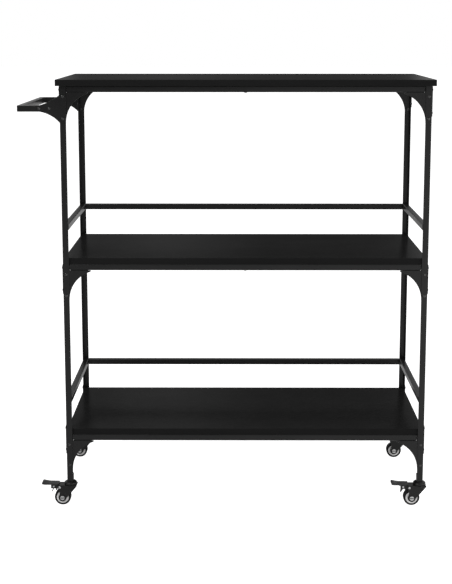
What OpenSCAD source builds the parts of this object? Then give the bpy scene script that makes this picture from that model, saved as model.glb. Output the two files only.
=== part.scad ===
// Bar cart on four swivel castors: a top board and two shelves on a steel frame,
// with guard rails, arched gussets, a U-shaped push handle and two foot brakes.
// X runs along the cart with the handle at -X, -Y is the front and Z is up.
// The origin is on the floor, under the middle of the whole cart, handle included.

/* [Boards] */
// Length of the top board
board_len = 900; // [700:10:1200]
// Depth of the top board
board_depth = 350; // [280:10:480]
// Thickness of the top board and shelves
board_t = 15; // [12:1:20]
// How far the top board stands past the frame on every side
overhang = 9; // [4:1:20]
// Height of the top board's upper face above the floor
top_h = 1055; // [860:5:1300]
// Height of the middle shelf's upper face above the floor
middle_h = 625; // [500:5:700]
// Height of the lower shelf's upper face above the floor
lower_h = 196; // [190:2:240]

/* [Frame] */
// Width of each leg of the angle posts
post_w = 15; // [14:0.5:18]
// Wall of the angle posts
post_t = 1.5; // [1.2:0.1:2]
// Side of the square tubes under the boards
beam_w = 15; // [13:0.5:18]
// Side of the square tubes of the guard rails
rail_w = 14.5; // [12:0.5:16]
// Wall of the square tubes
tube_t = 1.2; // [0.8:0.1:1.8]
// Outer corner radius of the square tubes
tube_r = 2; // [1.9:0.1:3]
// Height of a guard rail's upper face above its shelf
rail_rise = 83; // [60:1:120]

/* [Gussets] */
// Reach of a gusset past the post
gusset_reach = 52; // [40:1:70]
// Height of a gusset
gusset_drop = 73; // [68:1:90]
// Radius of a gusset's hollow edge
gusset_arc = 72; // [68:1:90]
// Thickness of the gussets
gusset_t = 1.5; // [1:0.1:2]
// Thickness of the straight plates on the outer sides of the posts
side_plate_t = 1.2; // [1:0.1:2]
// Extra height at which the lower shelf's side plates are fixed
lower_side_lift = 25; // [18:1:30]

/* [Handle] */
// Distance from the posts to the far side of the handle
handle_reach = 102; // [90:1:150]
// Height of the handle's upper face below the top board's upper face
handle_drop = 61.5; // [56:0.5:75]
// Side of the handle's square tube
handle_w = 14.5; // [12:0.5:18]
// Thickness of the handle brackets
bracket_t = 1.5; // [1:0.1:2.5]

/* [Castors] */
// Wheel diameter
wheel_d = 40; // [36:1:44]
// Tyre width
wheel_w = 16; // [14:0.5:17]
// Thickness of the tyre
tyre_t = 5; // [3:0.5:6]
// Gap between the tyre and the top of the fork
tyre_gap = 10.2; // [9.8:0.1:12]
// Distance from the fork up to the posts' lower ends
swivel_h = 10; // [9.6:0.2:14]
// Distance from the swivel axis back to the wheel axle
trail = 19.5; // [18:0.5:22]
// Gap between the fork's cheeks
fork_gap = 20; // [19:0.5:21]

/* [Hidden] */
$fn = 48;

CORNER_NAMES = ["front_left", "front_right", "back_left", "back_right"];

// Colours
BOARD_BLACK = [0.16, 0.16, 0.16];
STEEL_BLACK = [0.13, 0.13, 0.14];
SCREW_BLACK = [0.09, 0.09, 0.10];
ZINC = [0.72, 0.73, 0.75];
PLASTIC_BLACK = [0.07, 0.07, 0.07];
RUBBER = [0.05, 0.05, 0.05];
HUB_GREY = [0.82, 0.82, 0.82];

// Frame box: the outer faces of the posts
frame_len = board_len - 2 * overhang;
frame_depth = board_depth - 2 * overhang;
x_left = (handle_reach - frame_len - overhang) / 2;
x_right = x_left + frame_len;
y_front = -frame_depth / 2;
y_back = frame_depth / 2;
x_mid = (x_left + x_right) / 2;
post_mid = post_w / 2;

// Clearances between fixed pieces
slip = 0.2;
end_gap = 1;
beam_end_gap = 2.5;
hole_gap = 0.1;

// Depths behind the posts' outer faces
beam_set = post_t + 1;
shelf_set = beam_set + 1.5;
shelf_end_set = post_t + tube_t + 0.3;

// Fasteners: 4 mm screws
screw_r = 2;
head_r = 3.6;
head_h = 1.9;
nut_r = 4.04;
nut_h = 3;
screw_in_board = 10;

// Where the long beams start, measured in from the posts' outer faces
beam_start = max(post_w + beam_end_gap, post_t + beam_w + end_gap);

// Gusset fixings, measured down from the beam or board above
bolt_top = 10;
bolt_pitch = 53;
side_top = 1;
side_plate_h = 72;
side_screw_top = 9;
side_screw_pitch = 55;
flange_start = beam_start + 0.5;
flange_len = 42;
flange_w = 12;
flange_screw_x = beam_start + 27.5;

// Handle fixings
arm_end = 15;
handle_corner_r = 6;
arm_bolts = [24.5, 48.5];
bracket_reach = 52;
bracket_up = 26;
bracket_down = 27;
lower_arc_r = 80;
upper_arc_r = 118;

// Castor heights above the floor
axle_z = wheel_d / 2;
plate_t = 1.8;
fork_under = wheel_d + tyre_gap;
fork_top = fork_under + plate_t;
post_z = fork_top + swivel_h;
cheek_y = fork_gap / 2;
cheek_out = cheek_y + plate_t;
race_r = 16.4;
cup_r = 15.5;
cup_t = 1.3;
cup_bottom = fork_top + 1.4;
stem_r = 4;
sleeve_r = 6.5;
stem_up = 15;
turn_gap = 0.3;
run_gap = 0.05;
rivet_h = 2;
disc_r = 10;
axle_r = 2.5;
axle_head_r = 5.4;
axle_head_h = 2.4;
hub_r = wheel_d / 2 - tyre_t;
boss_r = 5;

// Brake: places relative to the swivel axis. The lever turns on its pin between
// the fork's cheeks; left of the fork it steps up to carry the pad.
pin_x = -trail - 6.2;
pin_z = wheel_d + 6.8;
pin_r = 1.6;
pin_head_r = 2.8;
ring_r = 2.9;
arm_t = 1.2;
arm_out = cheek_y - 0.4;
arm_in = arm_out - arm_t;
arm_low = pin_z - 3.5;
lever_end = -48;
step_x = -trail - 13;
lever_top = fork_top + slip;
tongue_start = -62;
tongue_end = lever_end + 2;
tongue_half = 6;
tongue_low = lever_top - 0.6;
tongue_top = lever_top + 1.2;
// A larger wheel falls away more slowly under the shoe, so the shoe drops less
shoe_drop = 8 - 0.06 * (wheel_d - 40);
pad_tip = -70.6;
pad_end = -28.4;
pad_lip = step_x + 0.9;
pad_half = 9.8;
pad_low = lever_top + slip;
pad_top = fork_top + 3.9;
lip_low = fork_top + 1.4;

// Board and beam heights from the height of a board's upper face
function under_board(h) = h - board_t;
function under_beam(h) = h - board_t - beam_w;
function rail_z(h) = h + rail_rise - rail_w;
levels = [top_h, middle_h, lower_h];
shelves = [middle_h, lower_h];
function side_lift(h) = h == lower_h ? lower_side_lift : 0;
arm_top = top_h - handle_drop;
arm_z = arm_top - handle_w;
arm_mid = arm_top - handle_w / 2;

// Moves children to a post: x and y then run inwards from its outer corner.
module at_corner(right, back) {
    translate([right ? x_right : x_left, back ? y_back : y_front, 0])
        mirror([right ? 1 : 0, 0, 0])
            mirror([0, back ? 1 : 0, 0])
                children();
}

// Moves children to the swivel axis of a castor, without mirroring them.
module at_stem(right, back) {
    translate([
        right ? x_right - post_mid : x_left + post_mid,
        back ? y_back - post_mid : y_front + post_mid,
        0
    ])
        children();
}

// Plates from an outline drawn in X and Z, or in Y and Z
module plate_xz(y, t) {
    translate([0, y + t, 0])
        rotate([90, 0, 0])
            linear_extrude(t)
                children();
}

module plate_yz(x, t) {
    translate([x, 0, 0])
        rotate([90, 0, 90])
            linear_extrude(t)
                children();
}

// Rods along Y and X, starting at the given point
module rod_y(p, r, len) {
    translate(p)
        rotate([-90, 0, 0])
            cylinder(h = len, r = r);
}

module rod_x(p, r, len) {
    translate(p)
        rotate([0, 90, 0])
            cylinder(h = len, r = r);
}

module round_square(side, r) {
    translate([r, 0])
        square([side - 2 * r, side]);
    translate([0, r])
        square([side, side - 2 * r]);
    for (x = [r, side - r], y = [r, side - r])
        translate([x, y])
            circle(r);
}

module tube_section(side) {
    difference() {
        round_square(side, tube_r);
        translate([tube_t, tube_t])
            round_square(side - 2 * tube_t, tube_r - tube_t);
    }
}

module tube_x(p, len, side) {
    translate(p)
        rotate([90, 0, 90])
            linear_extrude(len)
                tube_section(side);
}

module tube_y(p, len, side) {
    translate([p[0], p[1] + len, p[2]])
        rotate([90, 0, 0])
            linear_extrude(len)
                tube_section(side);
}

// A screw with its head below z = 0 and its shank above
module screw(len) {
    translate([0, 0, -head_h])
        cylinder(h = head_h, r1 = head_r * 0.6, r2 = head_r);
    cylinder(h = len, r = screw_r);
}

module nut() {
    difference() {
        cylinder(h = nut_h, r = nut_r, $fn = 6);
        translate([0, 0, -1])
            cylinder(h = nut_h + 2, r = screw_r + hole_gap);
    }
}

// Boards ---------------------------------------------------------------

// Screw places under a board, on the long beams and on the end beams
long_screws_x = [x_left + flange_screw_x, x_mid, x_right - flange_screw_x];
long_screws_y = [y_front + beam_set + beam_w / 2, y_back - beam_set - beam_w / 2];
end_screws_x = [x_left + post_t + beam_w / 2, x_right - post_t - beam_w / 2];
end_screws_y = [-frame_depth / 4, frame_depth / 4];

module at_board_screws() {
    for (x = long_screws_x, y = long_screws_y)
        translate([x, y, 0])
            children();
    for (x = end_screws_x, y = end_screws_y)
        translate([x, y, 0])
            children();
}

module board(len, depth, h) {
    color(BOARD_BLACK)
        difference() {
            translate([x_mid - len / 2, -depth / 2, under_board(h)])
                cube([len, depth, board_t]);
            at_board_screws()
                translate([0, 0, under_board(h) - 1])
                    cylinder(h = screw_in_board + 1.5, r = screw_r + hole_gap);
        }
}

module top_board() {
    board(board_len, board_depth, top_h);
}

module shelf(h) {
    board(frame_len - 2 * shelf_end_set, frame_depth - 2 * shelf_set, h);
}

// Posts ----------------------------------------------------------------

// Heights of the upper screw of a side plate and of a gusset
function side_screw_z(h) = under_board(h) + side_lift(h) - side_screw_top;
function bolt_z(h) = under_beam(h) - bolt_top;

module post(right, back) {
    color(STEEL_BLACK)
        at_corner(right, back)
            difference() {
                translate([0, 0, post_z])
                    linear_extrude(under_board(top_h) - post_z)
                        difference() {
                            square(post_w);
                            translate([post_t, post_t])
                                square(post_w);
                        }
                for (h = levels, drop = [0, bolt_pitch])
                    rod_y([post_mid, -1, bolt_z(h) - drop], screw_r + hole_gap, post_t + 2);
                for (h = levels, drop = [0, side_screw_pitch])
                    rod_x([-1, post_mid, side_screw_z(h) - drop], screw_r + hole_gap, post_t + 2);
                for (h = shelves)
                    translate([0, post_mid, rail_z(h) + rail_w / 2])
                        rotate([0, 90, 0])
                            flush_head(hole_gap);
            }
}

// Beams and rails -------------------------------------------------------

module long_beam(back, h) {
    y = back ? y_back - beam_set - beam_w : y_front + beam_set;
    len = frame_len - 2 * beam_start;
    color(STEEL_BLACK)
        difference() {
            tube_x([x_left + beam_start, y, under_beam(h)], len, beam_w);
            for (x = long_screws_x)
                translate([x, y + beam_w / 2, under_beam(h) - 1])
                    cylinder(h = beam_w + 2, r = screw_r + hole_gap);
        }
}

module end_beam(right, h) {
    x = right ? x_right - post_t - beam_w : x_left + post_t;
    y = y_front + post_t + slip;
    color(STEEL_BLACK)
        difference() {
            tube_y([x, y, under_beam(h)], frame_depth - 2 * (post_t + slip), beam_w);
            for (screw_y = end_screws_y)
                translate([x + beam_w / 2, screw_y, under_beam(h) - 1])
                    cylinder(h = beam_w + 2, r = screw_r + hole_gap);
            for (back = [false, true])
                at_corner(right, back)
                    rod_x([-1, post_mid, side_screw_z(h)], screw_r + hole_gap, post_t + tube_t + 2);
        }
}

module end_rail(right, h) {
    x = right ? x_right - post_t - rail_w : x_left + post_t;
    color(STEEL_BLACK)
        difference() {
            tube_y([x, y_front + post_t + slip, rail_z(h)], frame_depth - 2 * (post_t + slip), rail_w);
            for (back = [false, true])
                at_corner(right, back)
                    rod_x([0, post_mid, rail_z(h) + rail_w / 2], screw_r + hole_gap, rail_w + 3);
        }
}

// The back rail's ends are solid for this length, to hold a screw.
rail_plug = 14;
back_rail_set = post_t + rail_w + end_gap / 2;
rail_screw_in = 9;

module back_rail(h) {
    y = y_back - post_t - rail_w;
    len = frame_len - 2 * back_rail_set;
    color(STEEL_BLACK)
        difference() {
            translate([x_left + back_rail_set, y, rail_z(h)])
                rotate([90, 0, 90])
                    linear_extrude(len)
                        round_square(rail_w, tube_r);
            translate([x_left + back_rail_set + rail_plug, y + tube_t, rail_z(h) + tube_t])
                rotate([90, 0, 90])
                    linear_extrude(len - 2 * rail_plug)
                        round_square(rail_w - 2 * tube_t, tube_r - tube_t);
            for (right = [false, true])
                at_corner(right, true)
                    rod_x(
                        [0, post_mid, rail_z(h) + rail_w / 2],
                        screw_r + hole_gap,
                        back_rail_set + rail_screw_in + 1
                    );
        }
}

// Gussets ----------------------------------------------------------------

// Outline of a gusset: the post is at the left and the beam runs along z = 0.
module gusset_outline() {
    start = post_t + slip;
    difference() {
        translate([start, -gusset_drop])
            square([post_w + gusset_reach - start, gusset_drop]);
        translate([post_w + gusset_arc, -gusset_arc - 0.5])
            circle(gusset_arc, $fn = 96);
    }
}

module gusset(h) {
    difference() {
        union() {
            translate([0, 0, under_beam(h)])
                plate_xz(post_t, gusset_t)
                    gusset_outline();
            translate([flange_start, post_t, under_beam(h) - gusset_t])
                cube([flange_len, gusset_t + flange_w, gusset_t]);
        }
        for (drop = [0, bolt_pitch])
            rod_y([post_mid, 0, bolt_z(h) - drop], screw_r + hole_gap, post_t + gusset_t + 1);
        translate([flange_screw_x, beam_set + beam_w / 2, under_beam(h) - 3])
            cylinder(h = 4, r = screw_r + hole_gap);
    }
}

module gussets() {
    color(STEEL_BLACK)
        for (right = [false, true], back = [false, true], h = levels)
            at_corner(right, back)
                gusset(h);
}

module side_plate(h) {
    top = under_board(h) + side_lift(h) - side_top;
    difference() {
        translate([-side_plate_t, slip, top - side_plate_h])
            cube([side_plate_t, post_w - 2 * slip, side_plate_h]);
        for (drop = [0, side_screw_pitch])
            rod_x(
                [-side_plate_t - 1, post_mid, side_screw_z(h) - drop],
                screw_r + hole_gap,
                side_plate_t + 2
            );
    }
}

module side_plates() {
    color(STEEL_BLACK)
        for (right = [false, true], back = [false, true], h = levels)
            at_corner(right, back)
                side_plate(h);
}

// Handle -------------------------------------------------------------------

module handle_plan(shrink, tail) {
    r = handle_corner_r - shrink;
    x = x_left - handle_reach;
    depth = frame_depth / 2 - shrink;
    difference() {
        union() {
            translate([x + shrink, -depth + r])
                square([handle_reach, 2 * (depth - r)]);
            translate([x + handle_corner_r, -depth])
                square([handle_reach - handle_corner_r, 2 * depth]);
            for (y = [-depth + r, depth - r])
                translate([x + handle_corner_r, y])
                    circle(r);
        }
        inner = frame_depth / 2 - handle_w + shrink;
        translate([x + handle_w - shrink, -inner])
            square([handle_reach, 2 * inner]);
        translate([x_left - arm_end + tail, -frame_depth])
            square([handle_reach, 2 * frame_depth]);
    }
}

module handle_bar() {
    color(STEEL_BLACK)
        difference() {
            translate([0, 0, arm_z])
                linear_extrude(handle_w)
                    handle_plan(0, 0);
            translate([0, 0, arm_z + tube_t])
                linear_extrude(handle_w - 2 * tube_t)
                    handle_plan(tube_t, 1);
            for (back = [false, true], x = arm_bolts)
                at_corner(false, back)
                    rod_y([-x, -1, arm_mid], screw_r + hole_gap, tube_t + 2);
        }
}

// Outline of a handle bracket: the arm is at the left and the post at the right.
module bracket_outline() {
    lower_c = [-bracket_reach - 8, arm_z + 1 - lower_arc_r];
    upper_c = [-bracket_reach - 24, arm_top + upper_arc_r - 2.5];
    difference() {
        translate([-bracket_reach, arm_z - bracket_down])
            square([bracket_reach + post_w, handle_w + bracket_down + bracket_up]);
        translate(lower_c)
            circle(lower_arc_r, $fn = 120);
        translate(upper_c)
            circle(upper_arc_r, $fn = 160);
    }
}

module handle_brackets() {
    color(STEEL_BLACK)
        for (back = [false, true])
            at_corner(false, back)
                difference() {
                    plate_xz(-bracket_t, bracket_t)
                        bracket_outline();
                    for (x = arm_bolts)
                        rod_y([-x, -bracket_t - 1, arm_mid], screw_r + hole_gap, bracket_t + 2);
                    for (drop = [0, bolt_pitch])
                        rod_y(
                            [post_mid, -bracket_t - 1, bolt_z(top_h) - drop],
                            screw_r + hole_gap,
                            bracket_t + 2
                        );
                }
}

// Fasteners ------------------------------------------------------------------

// How far a gusset bolt's head stands off the post: the handle brackets are under it.
function head_off(right, h) = !right && h == top_h ? bracket_t : 0;

module frame_bolts() {
    color(SCREW_BLACK)
        for (right = [false, true], back = [false, true], h = levels, drop = [0, bolt_pitch])
            at_corner(right, back)
                translate([post_mid, -head_off(right, h), bolt_z(h) - drop])
                    rotate([-90, 0, 0])
                        screw(head_off(right, h) + post_t + gusset_t + nut_h + 1);
}

module handle_bolts() {
    color(SCREW_BLACK)
        for (back = [false, true], x = arm_bolts)
            at_corner(false, back)
                translate([-x, -bracket_t, arm_mid])
                    rotate([-90, 0, 0])
                        screw(bracket_t + tube_t + nut_h + 1);
}

module frame_nuts() {
    color(ZINC) {
        for (right = [false, true], back = [false, true], h = levels, drop = [0, bolt_pitch])
            at_corner(right, back)
                translate([post_mid, post_t + gusset_t, bolt_z(h) - drop])
                    rotate([-90, 0, 0])
                        nut();
        for (back = [false, true], x = arm_bolts)
            at_corner(false, back)
                translate([-x, tube_t, arm_mid])
                    rotate([-90, 0, 0])
                        nut();
    }
}

module side_screws() {
    color(SCREW_BLACK)
        for (right = [false, true], back = [false, true], h = levels, drop = [0, side_screw_pitch])
            at_corner(right, back)
                translate([-side_plate_t, post_mid, side_screw_z(h) - drop])
                    rotate([0, 90, 0])
                        screw(side_plate_t + post_t + tube_t);
}

module shelf_screws() {
    color(SCREW_BLACK)
        for (h = levels) {
            for (y = long_screws_y)
                translate([x_mid, y, under_beam(h)])
                    screw(beam_w + screw_in_board);
            for (x = [long_screws_x[0], long_screws_x[2]], y = long_screws_y)
                translate([x, y, under_beam(h) - gusset_t])
                    screw(gusset_t + beam_w + screw_in_board);
            for (x = end_screws_x, y = end_screws_y)
                translate([x, y, under_beam(h)])
                    screw(beam_w + screw_in_board);
        }
}

// Countersunk head that is flush with the post's face at z = 0
module flush_head(gap) {
    cylinder(h = post_t, r1 = head_r + gap, r2 = screw_r + gap);
}

module rail_screws() {
    color(SCREW_BLACK)
        for (right = [false, true], back = [false, true], h = shelves)
            at_corner(right, back)
                translate([0, post_mid, rail_z(h) + rail_w / 2])
                    rotate([0, 90, 0]) {
                        flush_head(0);
                        cylinder(h = back ? back_rail_set + rail_screw_in : post_t + tube_t + 6, r = screw_r);
                    }
}

// Castors: drawn with the swivel axis on Z and the wheel trailing to -X ---------

module foot_blocks() {
    color(STEEL_BLACK)
        for (right = [false, true], back = [false, true])
            at_corner(right, back)
                difference() {
                    translate([post_t, post_t, post_z])
                        cube([post_w - post_t, post_w - post_t, stem_up + 1]);
                    translate([post_mid, post_mid, post_z - 1])
                        cylinder(h = stem_up + 3, r = stem_r + run_gap);
                }
}

module castor_stems() {
    color(ZINC)
        for (right = [false, true], back = [false, true])
            at_stem(right, back) {
                translate([0, 0, post_z - cup_t])
                    cylinder(h = cup_t + stem_up, r = stem_r);
                translate([0, 0, fork_top + turn_gap])
                    cylinder(h = post_z - cup_t - fork_top - turn_gap, r = sleeve_r);
                translate([0, 0, fork_under - turn_gap])
                    cylinder(h = plate_t + 2 * turn_gap, r = stem_r);
                translate([0, 0, fork_under - turn_gap - rivet_h])
                    cylinder(h = rivet_h, r = sleeve_r);
            }
}

module castor_cups() {
    shoulder = post_z - 1;
    knee = cup_bottom + 4.5;
    color(STEEL_BLACK)
        for (right = [false, true], back = [false, true])
            at_stem(right, back)
                rotate_extrude()
                    polygon([
                        [stem_r + run_gap, post_z],
                        [post_mid + 0.5, post_z],
                        [post_mid + 2.5, shoulder],
                        [cup_r, knee],
                        [cup_r, cup_bottom],
                        [cup_r - cup_t, cup_bottom],
                        [cup_r - cup_t, knee - 0.5],
                        [post_mid + 1.5, shoulder - cup_t + 0.3],
                        [post_mid + 1, post_z - cup_t],
                        [stem_r + run_gap, post_z - cup_t]
                    ]);
}

module cheek_outline() {
    translate([-trail, axle_z])
        circle(disc_r);
    polygon([
        [-trail - 11.5, fork_top],
        [race_r - 0.5, fork_top],
        [race_r - 0.5, fork_top - 3],
        [-trail + 6.5, axle_z - 5],
        [-trail, axle_z],
        [-trail - 7.5, axle_z + 6],
        [-trail - 7, axle_z + 13],
        [-trail - 11.5, pin_z]
    ]);
}

module fork(right, back) {
    color(STEEL_BLACK)
        at_stem(right, back)
            difference() {
                union() {
                    for (y = [-cheek_out, cheek_y])
                        plate_xz(y, plate_t)
                            cheek_outline();
                    translate([0, 0, fork_under])
                        cylinder(h = plate_t, r = race_r);
                    translate([-trail - 11.5, -cheek_out, fork_under])
                        cube([trail + 11.5, 2 * cheek_out, plate_t]);
                }
                translate([0, 0, fork_under - 1])
                    cylinder(h = plate_t + 2, r = stem_r + run_gap);
                rod_y([-trail, -cheek_out - 1, axle_z], axle_r + 0.02, 2 * cheek_out + 2);
                if (!back)
                    rod_y([pin_x, -cheek_out - 1, pin_z], pin_r + 0.02, 2 * cheek_out + 2);
            }
}

module hub(right, back) {
    color(HUB_GREY)
        at_stem(right, back)
            translate([-trail, 0, axle_z])
                rotate([90, 0, 0])
                    difference() {
                        union() {
                            cylinder(h = wheel_w - 1, r = hub_r, center = true);
                            cylinder(h = fork_gap - 2 * turn_gap, r = boss_r, center = true);
                        }
                        cylinder(h = fork_gap + 2, r = axle_r + run_gap, center = true);
                        for (z = [-wheel_w / 2, wheel_w / 2 - 2.5])
                            translate([0, 0, z])
                                difference() {
                                    cylinder(h = 2.5, r = hub_r - 3);
                                    cylinder(h = 2.5, r = boss_r + 1.5);
                                }
                    }
}

module tyre(right, back) {
    crown = 2;
    half = wheel_w / 2;
    r = wheel_d / 2;
    color(RUBBER)
        at_stem(right, back)
            translate([-trail, 0, axle_z])
                rotate([90, 0, 0])
                    rotate_extrude()
                        polygon([
                            [hub_r, -half],
                            [r - crown, -half],
                            [r - crown * 0.3, -half + crown * 0.6],
                            [r, -half + crown * 1.6],
                            [r, half - crown * 1.6],
                            [r - crown * 0.3, half - crown * 0.6],
                            [r - crown, half],
                            [hub_r, half]
                        ]);
}

module axle(right, back) {
    color(ZINC)
        at_stem(right, back)
            translate([-trail, 0, axle_z])
                difference() {
                    union() {
                        rod_y([0, -cheek_out, 0], axle_r, 2 * cheek_out);
                        for (y = [-cheek_out - axle_head_h, cheek_out])
                            rod_y([0, y, 0], axle_head_r, axle_head_h);
                    }
                    translate([-axle_head_r - 1, -cheek_out - axle_head_h - 1, -0.5])
                        cube([2 * axle_head_r + 2, 1.9, 1]);
                }
}

module lever_arm_outline() {
    difference() {
        union() {
            translate([lever_end, arm_low])
                square([step_x - lever_end, lever_top - arm_low]);
            translate([step_x - 1, arm_low])
                square([pin_x - step_x + 1, pin_z + ring_r - arm_low]);
            translate([pin_x, pin_z])
                circle(ring_r);
        }
        translate([pin_x, pin_z])
            circle(pin_r + run_gap);
    }
}

module brake_lever(right) {
    color(STEEL_BLACK)
        at_stem(right, false) {
            for (y = [-arm_out, arm_in])
                plate_xz(y, arm_t)
                    lever_arm_outline();
            // Upper and lower web, and the tongue inside the pad
            translate([lever_end, -arm_out, lever_top - arm_t])
                cube([step_x - lever_end, 2 * arm_out, arm_t]);
            translate([step_x - 1, -arm_in - 0.5, pin_z + ring_r - arm_t])
                cube([pin_x - step_x + 1, 2 * arm_in + 1, arm_t]);
            translate([tongue_start, -tongue_half, tongue_low])
                cube([tongue_end - tongue_start, 2 * tongue_half, tongue_top - tongue_low]);
            // Brake shoe over the tyre, cross bar and the tail below it
            translate([pin_x - 10.5, -arm_in - 0.5, pin_z - shoe_drop])
                cube([3.2, 2 * arm_in + 1, 6]);
            translate([pin_x - 17, -arm_in - 0.5, arm_low])
                cube([5, 2 * arm_in + 1, 1.4]);
            plate_xz(-5, 10)
                polygon([
                    [pin_x - 13.5, arm_low + 0.5],
                    [pin_x - 16.5, arm_low + 0.5],
                    [pin_x - 21.6, pin_z - 13.6],
                    [pin_x - 20.2, pin_z - 14.2]
                ]);
        }
}

module pad_outline() {
    nose = 3.1;
    rise = 0.6;
    translate([pad_tip + nose, pad_low + rise + nose])
        circle(nose);
    polygon([
        [pad_tip + nose, pad_low + rise],
        [pad_tip + 8, pad_low],
        [pad_lip, pad_low],
        [pad_lip, lip_low],
        [pad_end, lip_low],
        [pad_end, pad_top],
        [-52, pad_top + 0.4],
        [-60, pad_top + 1.8],
        [pad_tip + nose, pad_low + rise + 2 * nose]
    ]);
}

module brake_pad(right) {
    color(PLASTIC_BLACK)
        at_stem(right, false)
            difference() {
                plate_xz(-pad_half, 2 * pad_half)
                    pad_outline();
                translate([tongue_start - slip, -tongue_half - slip, 0])
                    cube([
                        tongue_end - tongue_start + 2 * slip,
                        2 * (tongue_half + slip),
                        tongue_top + slip
                    ]);
            }
}

module brake_pin(right) {
    color(ZINC)
        at_stem(right, false)
            translate([pin_x, 0, pin_z]) {
                rod_y([0, -cheek_out, 0], pin_r, 2 * cheek_out);
                for (y = [-cheek_out - 1, cheek_out])
                    rod_y([0, y, 0], pin_head_r, 1);
            }
}

// Sub-parts ---------------------------------------------------------------------

top_board();
shelf(middle_h);  // middle_shelf
shelf(lower_h);  // lower_shelf
for (i = [0:3]) {
    right = i % 2 == 1;
    back = i > 1;
    post(right, back);
    fork(right, back);
    tyre(right, back);
    hub(right, back);
    axle(right, back);
}
for (i = [0:1]) {
    right = i == 1;
    brake_lever(right);
    brake_pad(right);
    brake_pin(right);
}
for (level = [["top", top_h], ["middle", middle_h], ["lower", lower_h]]) {
    long_beam(false, level[1]);
    long_beam(true, level[1]);
    end_beam(false, level[1]);
    end_beam(true, level[1]);
}
for (level = [["middle", middle_h], ["lower", lower_h]]) {
    back_rail(level[1]);
    end_rail(false, level[1]);
    end_rail(true, level[1]);
}
gussets();
side_plates();
handle_bar();
handle_brackets();
handle_bolts();
frame_bolts();
frame_nuts();
side_screws();
shelf_screws();
rail_screws();
foot_blocks();
castor_stems();
castor_cups();
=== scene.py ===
"""Bar cart on four swivel castors: laminated boards on a powder-coated steel frame.

Sizes are in millimetres in the frame's own axes: X runs along the cart with the
handle at -X, -Y is the front, Z is up and the floor is z = 0.
"""

import math

import bmesh
import bpy
from mathutils import Matrix, Vector


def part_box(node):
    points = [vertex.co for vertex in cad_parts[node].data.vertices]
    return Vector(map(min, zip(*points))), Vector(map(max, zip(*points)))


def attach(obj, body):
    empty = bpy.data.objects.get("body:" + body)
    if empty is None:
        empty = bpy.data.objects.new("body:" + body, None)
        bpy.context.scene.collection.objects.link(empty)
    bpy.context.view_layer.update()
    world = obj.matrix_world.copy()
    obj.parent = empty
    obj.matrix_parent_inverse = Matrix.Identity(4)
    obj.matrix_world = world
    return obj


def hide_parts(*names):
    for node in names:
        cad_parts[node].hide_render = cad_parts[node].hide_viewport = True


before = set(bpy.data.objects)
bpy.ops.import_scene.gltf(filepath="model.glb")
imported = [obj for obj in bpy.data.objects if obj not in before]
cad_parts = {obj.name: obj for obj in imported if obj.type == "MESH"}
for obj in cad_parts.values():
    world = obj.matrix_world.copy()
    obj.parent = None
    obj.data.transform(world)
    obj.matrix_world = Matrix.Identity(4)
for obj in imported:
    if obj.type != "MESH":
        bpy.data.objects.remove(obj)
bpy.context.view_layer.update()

MM = 0.001
CORNERS = ("front_left", "front_right", "back_left", "back_right")
LEVELS = ("top", "middle", "lower")
BOARDS = {"top": "top_board", "middle": "middle_shelf", "lower": "lower_shelf"}


# Workshop ---------------------------------------------------------------------


def box(node):
    """The two corners of a part's box, in millimetres."""
    lo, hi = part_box(node)
    return lo / MM, hi / MM


def take(*pieces):
    """Selects these pieces and nothing else."""
    bpy.ops.object.select_all(action="DESELECT")
    for piece in pieces:
        piece.select_set(True)
    bpy.context.view_layer.objects.active = pieces[0]


def keep(name):
    """Names the primitive just added and puts its place into its mesh."""
    piece = bpy.context.object
    piece.name = piece.data.name = name
    bpy.ops.object.transform_apply(location=True, rotation=True, scale=True)
    return piece


def block(name, lo, hi):
    lo, hi = Vector(lo) * MM, Vector(hi) * MM
    bpy.ops.object.select_all(action="DESELECT")
    bpy.ops.mesh.primitive_cube_add(size=1, location=(lo + hi) / 2, scale=hi - lo)
    return keep(name)


TURNS = {"x": (0, math.pi / 2, 0), "y": (math.pi / 2, 0, 0), "z": (0, 0, 0)}


def rod(name, radius, length, middle, axis="z", sides=48):
    """A cylinder whose middle is at the given point."""
    bpy.ops.object.select_all(action="DESELECT")
    bpy.ops.mesh.primitive_cylinder_add(
        vertices=sides, radius=radius * MM, depth=length * MM,
        location=Vector(middle) * MM, rotation=TURNS[axis],
    )
    return keep(name)


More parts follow.
